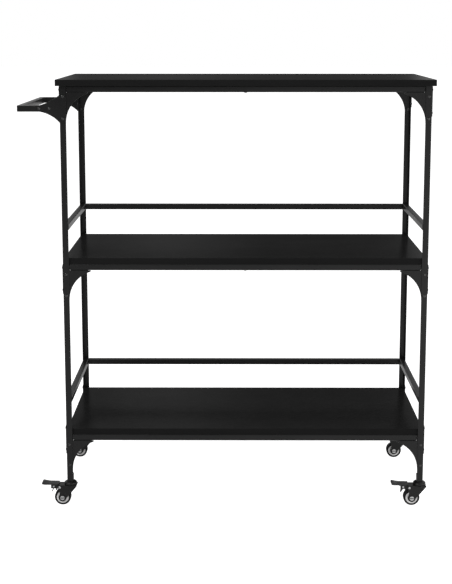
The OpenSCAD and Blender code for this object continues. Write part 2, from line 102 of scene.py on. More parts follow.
class Bench:
    """Edit mode on one piece, with places and sizes in millimetres."""

    def __init__(self, piece):
        self.piece = piece

    def __enter__(self):
        take(self.piece)
        bpy.ops.object.mode_set(mode="EDIT")
        return self

    def __exit__(self, *_):
        bpy.ops.object.mode_set(mode="OBJECT")

    def faces(self, test):
        """Selects the faces whose middle and normal pass the test."""
        bpy.ops.mesh.select_mode(type="FACE")
        bm = bmesh.from_edit_mesh(self.piece.data)
        for face in bm.faces:
            face.select_set(bool(test(face.calc_center_median() / MM, face.normal)))
        bm.select_flush_mode()
        bmesh.update_edit_mesh(self.piece.data)

    def edges(self, test):
        """Selects the edges whose two ends pass the test."""
        bpy.ops.mesh.select_all(action="DESELECT")
        bpy.ops.mesh.select_mode(type="EDGE")
        bm = bmesh.from_edit_mesh(self.piece.data)
        for edge in bm.edges:
            a, b = (v.co / MM for v in edge.verts)
            edge.select_set(bool(test(a, b)))
        bm.select_flush_mode()
        bmesh.update_edit_mesh(self.piece.data)

    def inset(self, width, depth=0.0):
        bpy.ops.mesh.inset(thickness=width * MM, depth=depth * MM)

    def pull(self, *step):
        bpy.ops.mesh.extrude_region_move(
            TRANSFORM_OT_translate={"value": Vector(step) * MM}
        )

    def shrink(self, share, about):
        bpy.ops.transform.resize(value=share, center_override=Vector(about) * MM)

    def soften(self, width, steps=3):
        bpy.ops.mesh.bevel(offset=width * MM, segments=steps, affect="EDGES")

    def cut(self, point, normal, drop=False):
        """Cuts along a plane; with drop, what lies past the plane is taken off."""
        bpy.ops.mesh.select_all(action="SELECT")
        bpy.ops.mesh.bisect(
            plane_co=Vector(point) * MM, plane_no=normal, use_fill=drop, clear_outer=drop
        )


def near(a, b, slack=0.05):
    return abs(a - b) < slack


def along(a, b, axis):
    """Whether an edge runs along one axis."""
    return all(near(a[i], b[i], 0.01) for i in range(3) if i != axis)


def carve(piece, *tools):
    """Cuts the tools' shapes out of a piece and throws the tools away."""
    for tool in tools:
        take(piece)
        work = piece.modifiers.new("cut", "BOOLEAN")
        work.operation = "DIFFERENCE"
        work.solver = "EXACT"
        work.object = tool
        bpy.ops.object.modifier_apply(modifier=work.name)
        bpy.data.objects.remove(tool)
    return piece


def joined(name, pieces):
    take(*pieces)
    if len(pieces) > 1:
        bpy.ops.object.join()
    piece = bpy.context.object
    piece.name = piece.data.name = name
    return piece


def copies(name, model, places):
    """Copies a model to each place with its own mesh, and joins them."""
    made = []
    for place in places:
        copy = model.copy()
        copy.data = model.data.copy()
        bpy.context.collection.objects.link(copy)
        copy.data.transform(place)
        if place.determinant() < 0:
            copy.data.flip_normals()
        made.append(copy)
    bpy.data.objects.remove(model)
    return joined(name, made)


def traced(name, node):
    """A merged copy of a part's own mesh, to be finished as a new piece."""
    piece = bpy.data.objects.new(name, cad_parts[node].data.copy())
    piece.data.name = name
    bpy.context.collection.objects.link(piece)
    with Bench(piece):
        bpy.ops.mesh.select_all(action="SELECT")
        bpy.ops.mesh.remove_doubles(threshold=0.002 * MM)
        bpy.ops.mesh.dissolve_limited(angle_limit=math.radians(0.5))
    return piece


def finish(piece, material, body, nodes=(), edge=0.3, steps=2, corner=30):
    """Rounds the sharp edges, smooths the shading and puts the piece in the frame."""
    with Bench(piece):
        bpy.ops.mesh.select_all(action="SELECT")
        bpy.ops.mesh.normals_make_consistent(inside=False)
    if edge:
        work = piece.modifiers.new("rounded edges", "BEVEL")
        work.width = edge * MM
        work.segments = steps
        work.limit_method = "ANGLE"
        work.angle_limit = math.radians(corner)
        bpy.ops.object.modifier_apply(modifier=work.name)
    bpy.ops.object.shade_smooth_by_angle(angle=math.radians(40))
    work = piece.modifiers.new("even shading", "WEIGHTED_NORMAL")
    work.keep_sharp = True
    bpy.ops.object.modifier_apply(modifier=work.name)
    piece.data.materials.clear()
    piece.data.materials.append(material)
    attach(piece, body)
    if nodes:
        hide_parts(*nodes)
    return piece


# Shader groups ----------------------------------------------------------------


class Shader:
    """A few short words for adding and joining shader nodes."""

    def __init__(self, tree):
        self.tree = tree

    def add(self, kind, inputs=None, **settings):
        node = self.tree.nodes.new(kind)
        for key, value in settings.items():
            setattr(node, key, value)
        for key, value in (inputs or {}).items():
            self.feed(value, node.inputs[key])
        return node

    def feed(self, value, socket):
        if isinstance(value, bpy.types.NodeSocket):
            self.tree.links.new(value, socket)
        else:
            socket.default_value = value

    def sum(self, how, a, b, clamp=False):
        node = self.add("ShaderNodeMath", {0: a, 1: b}, operation=how, use_clamp=clamp)
        return node.outputs[0]

    def spread(self, value, low, high, to_low=0.0, to_high=1.0):
        """Maps low..high to new limits."""
        node = self.add(
            "ShaderNodeMapRange",
            {"Value": value, "From Min": low, "From Max": high,
             "To Min": to_low, "To Max": to_high},
        )
        return node.outputs[0]

    def noise(self, place, scale, detail=3.0, rough=0.55):
        node = self.add(
            "ShaderNodeTexNoise",
            {"Vector": place, "Scale": scale, "Detail": detail, "Roughness": rough},
        )
        return node.outputs["Fac"]

    def stretched(self, place, x, y, z):
        node = self.add("ShaderNodeMapping", {"Vector": place, "Scale": (x, y, z)})
        return node.outputs[0]

    def here(self):
        return self.add("ShaderNodeTexCoord").outputs["Object"]

    def blend(self, share, a, b):
        node = self.add("ShaderNodeMix", data_type="RGBA")
        self.feed(share, node.inputs[0])
        self.feed(a, node.inputs[6])
        self.feed(b, node.inputs[7])
        return node.outputs[2]


def shader_group(name, inputs, outputs):
    """A new node group: inputs are name to value, outputs are names of values."""
    tree = bpy.data.node_groups.new(name, "ShaderNodeTree")
    for label, value in inputs.items():
        socket = tree.interface.new_socket(
            label, in_out="INPUT", socket_type="NodeSocketFloat"
        )
        socket.default_value = value
    for label in outputs:
        tree.interface.new_socket(label, in_out="OUTPUT", socket_type="NodeSocketFloat")
    shader = Shader(tree)
    given = shader.add("NodeGroupInput").outputs
    result = shader.add("NodeGroupOutput").inputs
    return tree, shader, given, result


def edge_wear_group():
    """Worn edges: where the rounded normal leaves the face's own, broken up."""
    tree, s, given, result = shader_group(
        "edge wear", {"Width": 0.0008, "Amount": 1.0, "Patch Scale": 90.0}, ["Wear"]
    )
    rounded = s.add("ShaderNodeBevel", {"Radius": given["Width"]}, samples=4)
    flat = s.add("ShaderNodeNewGeometry").outputs["Normal"]
    dot = s.add(
        "ShaderNodeVectorMath", {0: rounded.outputs[0], 1: flat}, operation="DOT_PRODUCT"
    ).outputs["Value"]
    turn = s.spread(dot, 0.995, 0.8)
    patch = s.noise(s.here(), given["Patch Scale"], 5.0, 0.65)
    broken = s.spread(patch, 0.42, 0.66)
    s.feed(s.sum("MULTIPLY", s.sum("MULTIPLY", turn, broken), given["Amount"], True),
           result["Wear"])
    return tree


def powder_coat_group():
    """Sprayed powder paint: a fine orange peel, specks and a slow drift in tone."""
    tree, s, given, result = shader_group(
        "powder coat", {"Peel Scale": 700.0, "Drift Scale": 7.0},
        ["Height", "Tone", "Speck"]
    )
    here = s.here()
    peel = s.noise(here, given["Peel Scale"], 2.0)
    fine = s.noise(here, s.sum("MULTIPLY", given["Peel Scale"], 3.1), 2.0)
    s.feed(s.sum("ADD", peel, s.sum("MULTIPLY", fine, 0.35)), result["Height"])
    s.feed(s.noise(here, given["Drift Scale"], 4.0), result["Tone"])
    speck = s.noise(here, s.sum("MULTIPLY", given["Peel Scale"], 1.6), 1.0)
    s.feed(s.spread(speck, 0.66, 0.74), result["Speck"])
    return tree


def laminate_group():
    """Printed board surface: fine pores drawn out along the board, and slow bands."""
    tree, s, given, result = shader_group(
        "laminate grain", {"Pore Scale": 420.0, "Band Scale": 26.0}, ["Height", "Tone"]
    )
    here = s.here()
    pores = s.noise(s.stretched(here, 0.09, 1.0, 1.0), given["Pore Scale"], 3.0, 0.6)
    pits = s.noise(here, s.sum("MULTIPLY", given["Pore Scale"], 2.4), 2.0)
    bands = s.noise(s.stretched(here, 0.12, 1.0, 1.0), given["Band Scale"], 5.0, 0.6)
    s.feed(s.sum("ADD", s.sum("MULTIPLY", pores, 0.7), s.sum("MULTIPLY", pits, 0.3)),
           result["Height"])
    s.feed(s.sum("ADD", s.sum("MULTIPLY", bands, 0.6), s.sum("MULTIPLY", pores, 0.4)),
           result["Tone"])
    return tree


def dust_group():
    """Settled dust: patches on what faces up."""
    tree, s, given, result = shader_group(
        "settled dust", {"Amount": 0.3, "Patch Scale": 14.0}, ["Dust"]
    )
    normal = s.add("ShaderNodeNewGeometry").outputs["Normal"]
    up = s.add("ShaderNodeSeparateXYZ", {0: normal}).outputs["Z"]
    lying = s.spread(up, 0.6, 0.98)
    here = s.here()
    patch = s.spread(s.noise(here, given["Patch Scale"], 6.0, 0.7), 0.35, 0.75)
    grains = s.spread(s.noise(here, 2600.0, 1.0), 0.45, 0.62)
    mask = s.sum("MULTIPLY", s.sum("MULTIPLY", lying, patch), grains)
    s.feed(s.sum("MULTIPLY", mask, given["Amount"], True), result["Dust"])
    return tree


def bright_metal_group():
    """Plated steel: fine turning marks and cloudy passivation."""
    tree, s, given, result = shader_group(
        "plated steel", {"Mark Scale": 900.0, "Cloud Scale": 120.0}, ["Height", "Cloud"]
    )
    here = s.here()
    marks = s.noise(s.stretched(here, 1.0, 0.08, 1.0), given["Mark Scale"], 2.0)
    s.feed(marks, result["Height"])
    s.feed(s.noise(here, given["Cloud Scale"], 4.0), result["Cloud"])
    return tree


def moulded_group():
    """Moulded plastic or rubber: spark-eroded texture and faint flow marks."""
    tree, s, given, result = shader_group(
        "moulded skin", {"Grain Scale": 1500.0, "Flow Scale": 45.0}, ["Height", "Flow"]
    )
    here = s.here()
    s.feed(s.noise(here, given["Grain Scale"], 2.0), result["Height"])
    s.feed(s.noise(here, given["Flow Scale"], 4.0, 0.6), result["Flow"])
    return tree


EDGE_WEAR = edge_wear_group()
POWDER_COAT = powder_coat_group()
LAMINATE = laminate_group()
DUST = dust_group()
BRIGHT_METAL = bright_metal_group()
MOULDED = moulded_group()


# Materials --------------------------------------------------------------------


def grey(level, warmth=0.0):
    return (level * (1 + warmth), level, level * (1 - warmth), 1.0)


class Finish(Shader):
    """A material with one Principled shader, and places for groups."""

    def __init__(self, name, **constants):
        self.material = bpy.data.materials.new(name)
        self.material.use_nodes = True
        super().__init__(self.material.node_tree)
        self.skin = self.tree.nodes["Principled BSDF"]
        for label, value in constants.items():
            self.skin.inputs[label.replace("_", " ")].default_value = value

    def use(self, tree, **inputs):
        """Places a group with its own values and gives its outputs."""
        node = self.add("ShaderNodeGroup", node_tree=tree)
        for label, value in inputs.items():
            self.feed(value, node.inputs[label.replace("_", " ")])
        return node.outputs

    def colour(self, value):
        self.feed(value, self.skin.inputs["Base Color"])

    def rough(self, value):
        self.feed(value, self.skin.inputs["Roughness"])

    def bump(self, height, distance, strength=1.0):
        node = self.add(
            "ShaderNodeBump", {"Height": height, "Distance": distance, "Strength": strength}
        )
        self.feed(node.outputs[0], self.skin.inputs["Normal"])


def black_laminate():
    m = Finish("black laminate", Specular_IOR_Level=0.02)
    grain = m.use(LAMINATE)
    wear = m.use(EDGE_WEAR, Width=0.0012, Amount=0.5, Patch_Scale=60.0)["Wear"]
    dust = m.use(DUST, Amount=0.10)["Dust"]
    tone = m.spread(grain["Tone"], 0.3, 0.7)
    shade = m.blend(tone, grey(0.0095), grey(0.0125))
    shade = m.blend(wear, shade, grey(0.045))
    m.colour(m.blend(dust, shade, grey(0.12, 0.02)))
    m.rough(m.spread(grain["Tone"], 0.3, 0.7, 0.18, 0.24))
    m.bump(grain["Height"], 0.00012, 0.5)
    return m.material


def black_powder_coat():
    m = Finish("black powder coat", Specular_IOR_Level=0.3)
    coat = m.use(POWDER_COAT)
    wear = m.use(EDGE_WEAR, Width=0.0009, Amount=0.55)["Wear"]
    dust = m.use(DUST, Amount=0.12, Patch_Scale=22.0)["Dust"]
    shade = m.blend(m.spread(coat["Tone"], 0.3, 0.7), grey(0.006), grey(0.009))
    shade = m.blend(coat["Speck"], shade, grey(0.016))
    shade = m.blend(wear, shade, grey(0.05))
    m.colour(m.blend(dust, shade, grey(0.12, 0.02)))
    gloss = m.spread(coat["Tone"], 0.3, 0.7, 0.24, 0.33)
    m.rough(m.sum("ADD", gloss, m.sum("MULTIPLY", wear, 0.12)))
    m.bump(coat["Height"], 0.00010, 0.45)
    return m.material


def black_screw():
    m = Finish("black oxide screws", Metallic=1.0)
    marks = m.use(BRIGHT_METAL, Mark_Scale=1400.0, Cloud_Scale=260.0)
    wear = m.use(EDGE_WEAR, Width=0.0005, Amount=0.9, Patch_Scale=240.0)["Wear"]
    cloud = m.spread(marks["Cloud"], 0.3, 0.7)
    m.colour(m.blend(wear, m.blend(cloud, grey(0.055), grey(0.085)), grey(0.28)))
    m.rough(m.spread(marks["Cloud"], 0.3, 0.7, 0.17, 0.26))
    m.bump(marks["Height"], 0.00005, 0.4)
    return m.material


def zinc():
    m = Finish("zinc-plated steel", Metallic=1.0)
    marks = m.use(BRIGHT_METAL)
    wear = m.use(EDGE_WEAR, Width=0.0004, Amount=0.8, Patch_Scale=300.0)["Wear"]
    cloud = m.spread(marks["Cloud"], 0.3, 0.7)
    shade = m.blend(cloud, grey(0.50, -0.01), grey(0.66))
    m.colour(m.blend(wear, shade, grey(0.85)))
    m.rough(m.spread(marks["Cloud"], 0.3, 0.7, 0.22, 0.36))
    m.bump(marks["Height"], 0.00005, 0.5)
    return m.material


def pedal_plastic():
    m = Finish("pedal plastic", Specular_IOR_Level=0.45)
    skin = m.use(MOULDED)
    wear = m.use(EDGE_WEAR, Width=0.0012, Amount=0.5, Patch_Scale=160.0)["Wear"]
    flow = m.spread(skin["Flow"], 0.3, 0.7)
    m.colour(m.blend(wear, m.blend(flow, grey(0.013), grey(0.020)), grey(0.07)))
    m.rough(m.spread(skin["Flow"], 0.3, 0.7, 0.32, 0.44))
    m.bump(skin["Height"], 0.00008, 0.5)
    return m.material


def hub_plastic():
    m = Finish("hub plastic", Specular_IOR_Level=0.5)
    skin = m.use(MOULDED, Grain_Scale=1100.0, Flow_Scale=70.0)
    wear = m.use(EDGE_WEAR, Width=0.0010, Amount=0.6, Patch_Scale=180.0)["Wear"]
    flow = m.spread(skin["Flow"], 0.3, 0.72)
    m.colour(m.blend(wear, m.blend(flow, grey(0.90), grey(0.80, 0.01)), grey(0.55, 0.03)))
    m.rough(m.spread(skin["Flow"], 0.3, 0.7, 0.34, 0.5))
    m.bump(skin["Height"], 0.00006, 0.4)
    return m.material


def tyre_rubber():
    m = Finish("tyre rubber", Specular_IOR_Level=0.12)
    skin = m.use(MOULDED, Grain_Scale=900.0, Flow_Scale=60.0)
    wear = m.use(EDGE_WEAR, Width=0.0016, Amount=0.7, Patch_Scale=200.0)["Wear"]
    flow = m.spread(skin["Flow"], 0.3, 0.7)
    scuffed = m.blend(wear, m.blend(flow, grey(0.007), grey(0.012)), grey(0.035, 0.02))
    m.colour(scuffed)
    m.rough(m.spread(skin["Flow"], 0.3, 0.7, 0.55, 0.72))
    m.bump(skin["Height"], 0.00012, 0.6)
    return m.material


BLACK_LAMINATE = black_laminate()
POWDER = black_powder_coat()
SCREW = black_screw()
ZINC = zinc()
PEDAL = pedal_plastic()
HUB = hub_plastic()
TYRE = tyre_rubber()


# Frame measures ---------------------------------------------------------------

X_LEFT, Y_FRONT = box("post_front_left")[0].xy
X_RIGHT, Y_BACK = box("post_back_right")[1].xy
POST_FOOT, POST_HEAD = box("post_front_left")[0].z, box("post_front_left")[1].z

# Widths, walls (T) and outer corner radii (R) of the stock the frame is made from.
POST_W, POST_T = 15.0, 1.5
TUBE_T, TUBE_R = 1.2, 2.0
OPEN_DEPTH = 12.0
GUSSET_T, PLATE_T, BRACKET_T = 1.5, 1.2, 1.5

UNDER_BOARD = {level: box(BOARDS[level])[0].z for level in LEVELS}
UNDER_BEAM = {level: box(level + "_front_beam")[0].z for level in LEVELS}
SIDE_LIFT = {"top": 0.0, "middle": 0.0, "lower": 25.0}

# Upper fastener below its datum, and the distance down to the next one.
BOLT_TOP, BOLT_PITCH = 10.0, 53.0
SIDE_TOP, SIDE_PITCH = 9.0, 55.0

# From a post's outer corner to the beam's end and the gusset's tip, and its height.
BEAM_START, GUSSET_REACH, GUSSET_DROP = 17.5, 67.0, 73.0
FLANGE_GAP, FLANGE_LENGTH, FLANGE_WIDTH = 0.5, 42.0, 12.0

HEAD_R, HEAD_H, SCREW_R = 3.6, 1.9, 2.0
NUT_R, NUT_H = 4.04, 3.0
SOCKET_DEPTH = 1.6


def corner(right, back, z=0.0):
    """From an outer corner, with X and Y running inwards, to one of the four posts."""
    place = Matrix.Translation(
        Vector((X_RIGHT if right else X_LEFT, Y_BACK if back else Y_FRONT, z)) * MM
    )
    return place @ Matrix.Diagonal((-1 if right else 1, -1 if back else 1, 1, 1))


def shifted(x, y, z):
    return Matrix.Translation(Vector((x, y, z)) * MM)


FOUR = [(right, back) for back in (False, True) for right in (False, True)]
TO_Y = Matrix.Rotation(math.radians(-90), 4, "X")
TO_X = Matrix.Rotation(math.radians(90), 4, "Y")


# Boards -----------------------------------------------------------------------


def make_board(node):
    """A faced board: an edge band closes against the face in a fine seam."""
    lo, hi = box(node)
    band, seam, seam_depth = 1.4, 0.25, 0.18
    piece = block(node + "_panel", lo, hi)
    with Bench(piece) as b:
        b.edges(lambda p, q: along(p, q, 2))
        b.soften(2.5, 6)
        for up in (1, -1):
            b.faces(lambda c, n: n.z * up > 0.9)
            b.inset(band)
            b.inset(seam, -seam_depth)
            b.inset(seam, seam_depth)
    return finish(piece, BLACK_LAMINATE, "frame", [node], 0.45, 3, 50)


for level in LEVELS:
    make_board(BOARDS[level])


# Posts, beams and rails -------------------------------------------------------


def make_post(index, right, back):
    """A folded angle with a bent corner."""
    name = CORNERS[index]
    bend_out, bend_in = 1.4, 0.5
    piece = block("angle_" + name, (0, 0, POST_FOOT), (POST_W, POST_T, POST_HEAD))
    with Bench(piece) as b:
        b.cut((POST_T, 0, 0), (1, 0, 0))
        b.faces(lambda c, n: n.y > 0.9 and c.x < POST_T)
        b.pull(0, POST_W - POST_T, 0)
        b.edges(lambda p, q: along(p, q, 2) and near(p.x, 0) and near(p.y, 0))
        b.soften(bend_out, 4)
        b.edges(lambda p, q: along(p, q, 2) and near(p.x, POST_T) and near(p.y, POST_T))
        b.soften(bend_in, 3)
    piece = copies("angle_" + name, piece, [corner(right, back)])
    finish(piece, POWDER, "frame", ["post_" + name], 0.3, 2, 50)


for index, (right, back) in enumerate(FOUR):
    make_post(index, right, back)


def make_tube(node, axis):
    """A square tube with rolled corners and open ends."""
    lo, hi = box(node)
    piece = block(node + "_tube", lo, hi)
    depth = Vector([0, 0, 0])
    with Bench(piece) as b:
        b.edges(lambda p, q: along(p, q, axis))
        b.soften(TUBE_R, 5)
        for end in (1, -1):
            b.faces(lambda c, n: n[axis] * end > 0.9)
            b.inset(TUBE_T)
            depth[axis] = -OPEN_DEPTH * end
            b.pull(*depth)
    finish(piece, POWDER, "frame", [node], 0.2, 2, 50)


for level in LEVELS:
    for side, axis in (("front", 0), ("back", 0), ("left", 1), ("right", 1)):
        make_tube(f"{level}_{side}_beam", axis)
for level in LEVELS[1:]:
    for side, axis in (("back", 0), ("left", 1), ("right", 1)):
        make_tube(f"{level}_{side}_rail", axis)


# Gussets and plates -----------------------------------------------------------


def make_gussets():
    """Arched gussets, drawn at one corner.

    A flange is folded under the beam, and a short tab stands up behind the post.
    """
    flange = (BEAM_START + FLANGE_GAP, BEAM_START + FLANGE_GAP + FLANGE_LENGTH)
    tab_end, tab_height = BEAM_START - 0.1, 4
    arch_r, arch_x, arch_z = 72, 87, -72.5
    piece = block("gusset", (POST_T + 0.2, POST_T, -GUSSET_DROP),
                  (GUSSET_REACH, POST_T + GUSSET_T, 0))
    with Bench(piece) as b:
        for x in flange:
            b.cut((x, 0, 0), (1, 0, 0))
        b.cut((0, 0, -GUSSET_T), (0, 0, 1))
        b.cut((tab_end, 0, 0), (1, 0, 0))
        b.faces(lambda c, n: n.z > 0.9 and c.x < tab_end)
        b.pull(0, 0, tab_height)
        b.faces(lambda c, n: n.y > 0.9 and flange[0] < c.x < flange[1]
                and c.z > -GUSSET_T)
        b.pull(0, FLANGE_WIDTH, 0)
    carve(piece, rod("hollow", arch_r, 20, (arch_x, 2, arch_z), "y", 160))
    places = [corner(r, k, UNDER_BEAM[level]) for r, k in FOUR for level in LEVELS]
    piece = copies("gusset_set", piece, places)
    finish(piece, POWDER, "frame", ["gussets"], 0.3, 2, 25)


def make_side_plates():
    """Plain plates with rounded corners, just narrower than the posts they are on."""
    height, margin, corner_r, below_board = 72, 0.2, 2.2, 1
    piece = block("side_plate", (-PLATE_T, margin, -height), (0, POST_W - margin, 0))
    with Bench(piece) as b:
        b.edges(lambda p, q: along(p, q, 0))
        b.soften(corner_r, 5)
    places = [
        corner(r, k, UNDER_BOARD[level] + SIDE_LIFT[level] - below_board)
        for r, k in FOUR for level in LEVELS
    ]
    piece = copies("side_plate_set", piece, places)
    finish(piece, POWDER, "frame", ["side_plates"], 0.3, 3, 50)


make_gussets()
make_side_plates()


# Handle -----------------------------------------------------------------------

BAR_LO, BAR_HI = box("handle_bar")
BAR_W = BAR_HI.z - BAR_LO.z
ARM_MID = (BAR_LO.z + BAR_HI.z) / 2
ARM_BOLTS = (24.5, 48.5)


def make_handle():
    """A bar bent to a U, with rolled edges and open arm ends."""
    outer, inner = BAR_LO.x, BAR_LO.x + BAR_W
    arm_y = BAR_HI.y - BAR_W
    bend_out, bend_in = 6, 1.5
    piece = block("push_handle", BAR_LO, (inner, BAR_HI.y, BAR_HI.z))
    with Bench(piece) as b:
        for y in (BAR_LO.y + BAR_W, arm_y):
            b.cut((0, y, 0), (0, 1, 0))
        b.faces(lambda c, n: n.x > 0.9 and abs(c.y) > arm_y)
        b.pull(BAR_HI.x - inner, 0, 0)
        b.edges(lambda p, q: along(p, q, 2) and near(p.x, outer)
                and near(abs(p.y), BAR_HI.y))
        b.soften(bend_out, 8)
        b.edges(lambda p, q: along(p, q, 2) and near(p.x, inner)
                and near(abs(p.y), arm_y))
        b.soften(bend_in, 4)
        b.faces(lambda c, n: n.x > 0.9 and near(c.x, BAR_HI.x))
        b.inset(TUBE_T)
        b.pull(-OPEN_DEPTH, 0, 0)
    finish(piece, POWDER, "frame", ["handle_bar"], 1.9, 4, 60)


def make_brackets():
    """Hollowed plates that bolt the handle's arms to the posts."""
    lo, hi = box("handle_brackets")
    reach = X_LEFT - lo.x
    lower_r, upper_r = 80, 118
    lower_z, upper_z = BAR_LO.z + 1 - lower_r, BAR_HI.z + upper_r - 2.5
    piece = block("bracket", (-reach, -BRACKET_T, lo.z), (POST_W, 0, hi.z))
    lower = rod("hollow", lower_r, 20, (-reach - 8, -1, lower_z), "y", 200)
    upper = rod("hollow", upper_r, 20, (-reach - 24, -1, upper_z), "y", 256)
    carve(piece, lower, upper)
    piece = copies("bracket_pair", piece, [corner(False, k) for k in (False, True)])
    finish(piece, POWDER, "frame", ["handle_brackets"], 0.35, 3, 25)


make_handle()
make_brackets()


# Fasteners --------------------------------------------------------------------


def bolt_model(length):
    """A button head with a hex socket below z = 0 and a plain shank above."""
    rim, point = 0.5, 0.5
    dome = ((0.45, 0.93), (0.45, 0.84), (0.32, 0.72), (0.18, 0.55))
    head = rod("bolt", HEAD_R, rim, (0, 0, -rim / 2), sides=28)
    with Bench(head) as b:
        b.faces(lambda c, n: n.z < -0.9)
        for drop, share in dome:
            b.pull(0, 0, -drop)
            b.shrink((share, share, 1), (0, 0, 0))
        b.faces(lambda c, n: n.z > 0.9)
        b.inset(HEAD_R - SCREW_R)
        b.pull(0, 0, length - point)
        b.pull(0, 0, point)
        b.shrink((0.82, 0.82, 1), (0, 0, 0))
    return carve(head, rod("socket", 1.15, SOCKET_DEPTH, (0, 0, -HEAD_H), sides=6))


def nut_model():
    nut = rod("nut", NUT_R, NUT_H, (0, 0, NUT_H / 2), sides=6)
    nut.data.transform(Matrix.Rotation(math.radians(30), 4, "Z"))
    return carve(nut, rod("bore", SCREW_R + 0.1, 10, (0, 0, 0), sides=24))


def at_bolts(right, back, level):
    """Places of the two bolts of a gusset, and how far they stand off the post."""
    off = BRACKET_T if level == "top" and not right else 0.0
    for drop in (0, BOLT_PITCH):
        yield off, corner(right, back) @ shifted(
            POST_W / 2, 0, UNDER_BEAM[level] - BOLT_TOP - drop
        )


def make_fasteners():
    plain, standing, nuts, sides = [], [], [], []
    for right, back in FOUR:
        for level in LEVELS:
            for off, place in at_bolts(right, back, level):
                (standing if off else plain).append(place @ shifted(0, -off, 0) @ TO_Y)
                nuts.append(place @ shifted(0, POST_T + GUSSET_T, 0) @ TO_Y)
            top = UNDER_BOARD[level] + SIDE_LIFT[level] - SIDE_TOP
            for drop in (0, SIDE_PITCH):
                sides.append(
                    corner(right, back) @ shifted(-PLATE_T, POST_W / 2, top - drop) @ TO_X
                )
    past_nut = 1
    through = POST_T + GUSSET_T + NUT_H + past_nut
    short = copies("short_bolts", bolt_model(through), plain)
    long = copies("long_bolts", bolt_model(through + BRACKET_T), standing)
    finish(joined("gusset_bolt_set", [short, long]),
           SCREW, "frame", ["frame_bolts"], 0.12, 2, 40)
    arms = [
        corner(False, back) @ shifted(-x, -BRACKET_T, ARM_MID) @ TO_Y
        for back in (False, True) for x in ARM_BOLTS
    ]
    arm_bolt = bolt_model(BRACKET_T + TUBE_T + NUT_H + past_nut)
    finish(copies("handle_bolt_set", arm_bolt, arms),
           SCREW, "frame", ["handle_bolts"], 0.12, 2, 40)
    nuts += [
        corner(False, back) @ shifted(-x, TUBE_T, ARM_MID) @ TO_Y
        for back in (False, True) for x in ARM_BOLTS
    ]
    finish(copies("nut_set", nut_model(), nuts),
           SCREW, "frame", ["frame_nuts"], 0.25, 2, 40)
    finish(copies("side_screw_set", bolt_model(PLATE_T + POST_T + TUBE_T), sides),
           SCREW, "frame", ["side_screws"], 0.12, 2, 40)


def make_board_screws():
    """Screws up through the beams into the boards; those at the gussets sit lower."""
    mid = (X_LEFT + X_RIGHT) / 2
    screw_in, into_board = BEAM_START + 27.5, 10
    rows = [box("top_front_beam"), box("top_back_beam")]
    ys = [(lo.y + hi.y) / 2 for lo, hi in rows]
    ends = [sum(p.x for p in box(f"top_{side}_beam")) / 2 for side in ("left", "right")]
    flush, lower = [], []
    for level in LEVELS:
        z = UNDER_BEAM[level]
        flush += [shifted(mid, y, z) for y in ys]
        flush += [shifted(x, y, z) for x in ends for y in (Y_FRONT / 2, Y_BACK / 2)]
        lower += [
            shifted(x, y, z - GUSSET_T)
            for x in (X_LEFT + screw_in, X_RIGHT - screw_in) for y in ys
        ]
    shank = UNDER_BOARD["top"] - UNDER_BEAM["top"] + into_board
    upper = copies("beam_screws", bolt_model(shank), flush)
    under = copies("flange_screws", bolt_model(shank + GUSSET_T), lower)
    finish(joined("board_screw_set", [upper, under]),
           SCREW, "frame", ["shelf_screws"], 0.12, 2, 40)


def make_rail_screws():
    """Countersunk screws flush with the posts, into the guard rails."""
    into_rail = 7
    head = rod("flush_screw", HEAD_R, POST_T, (0, 0, POST_T / 2), sides=28)
    with Bench(head) as b:
        b.faces(lambda c, n: n.z > 0.9)
        b.shrink((SCREW_R / HEAD_R, SCREW_R / HEAD_R, 1), (0, 0, 0))
        b.pull(0, 0, into_rail)
        b.faces(lambda c, n: n.z < -0.9)
        b.inset(0.5, -0.12)
    carve(head, rod("socket", 1.3, SOCKET_DEPTH, (0, 0, 0), sides=6))
    places = []
    for right, back in FOUR:
        for level in LEVELS[1:]:
            lo, hi = box(level + "_left_rail")
            middle = shifted(0, POST_W / 2, (lo.z + hi.z) / 2)
            places.append(corner(right, back) @ middle @ TO_X)
    finish(copies("rail_screw_set", head, places),
           SCREW, "frame", ["rail_screws"], 0.1, 2, 40)


make_fasteners()
make_board_screws()
make_rail_screws()


# Castors: drawn with the swivel axis on X = Y = 0 -----------------------------

STEMS = [
    shifted(X_RIGHT - POST_W / 2 if right else X_LEFT + POST_W / 2,
            Y_BACK - POST_W / 2 if back else Y_FRONT + POST_W / 2, 0)
    for right, back in FOUR
]
TYRE_LO, TYRE_HI = box("tyre_front_left")
TRAIL = 19.5
WHEEL_R, WHEEL_W = TYRE_HI.z / 2, TYRE_HI.y - TYRE_LO.y
HUB_R = box("hub_front_left")[1].z - WHEEL_R
HUB_W = WHEEL_W - 1
FORK_TOP, FORK_T = box("fork_front_left")[1].z, 1.8
CUP_LOW, CUP_R = box("castor_cups")[0].z, 15.5
ARM_OUT = 9.6
STEM_R, SLEEVE_R = 4.0, 6.5
BORE_R = 4.05
AXLE_BORE_R = 2.55


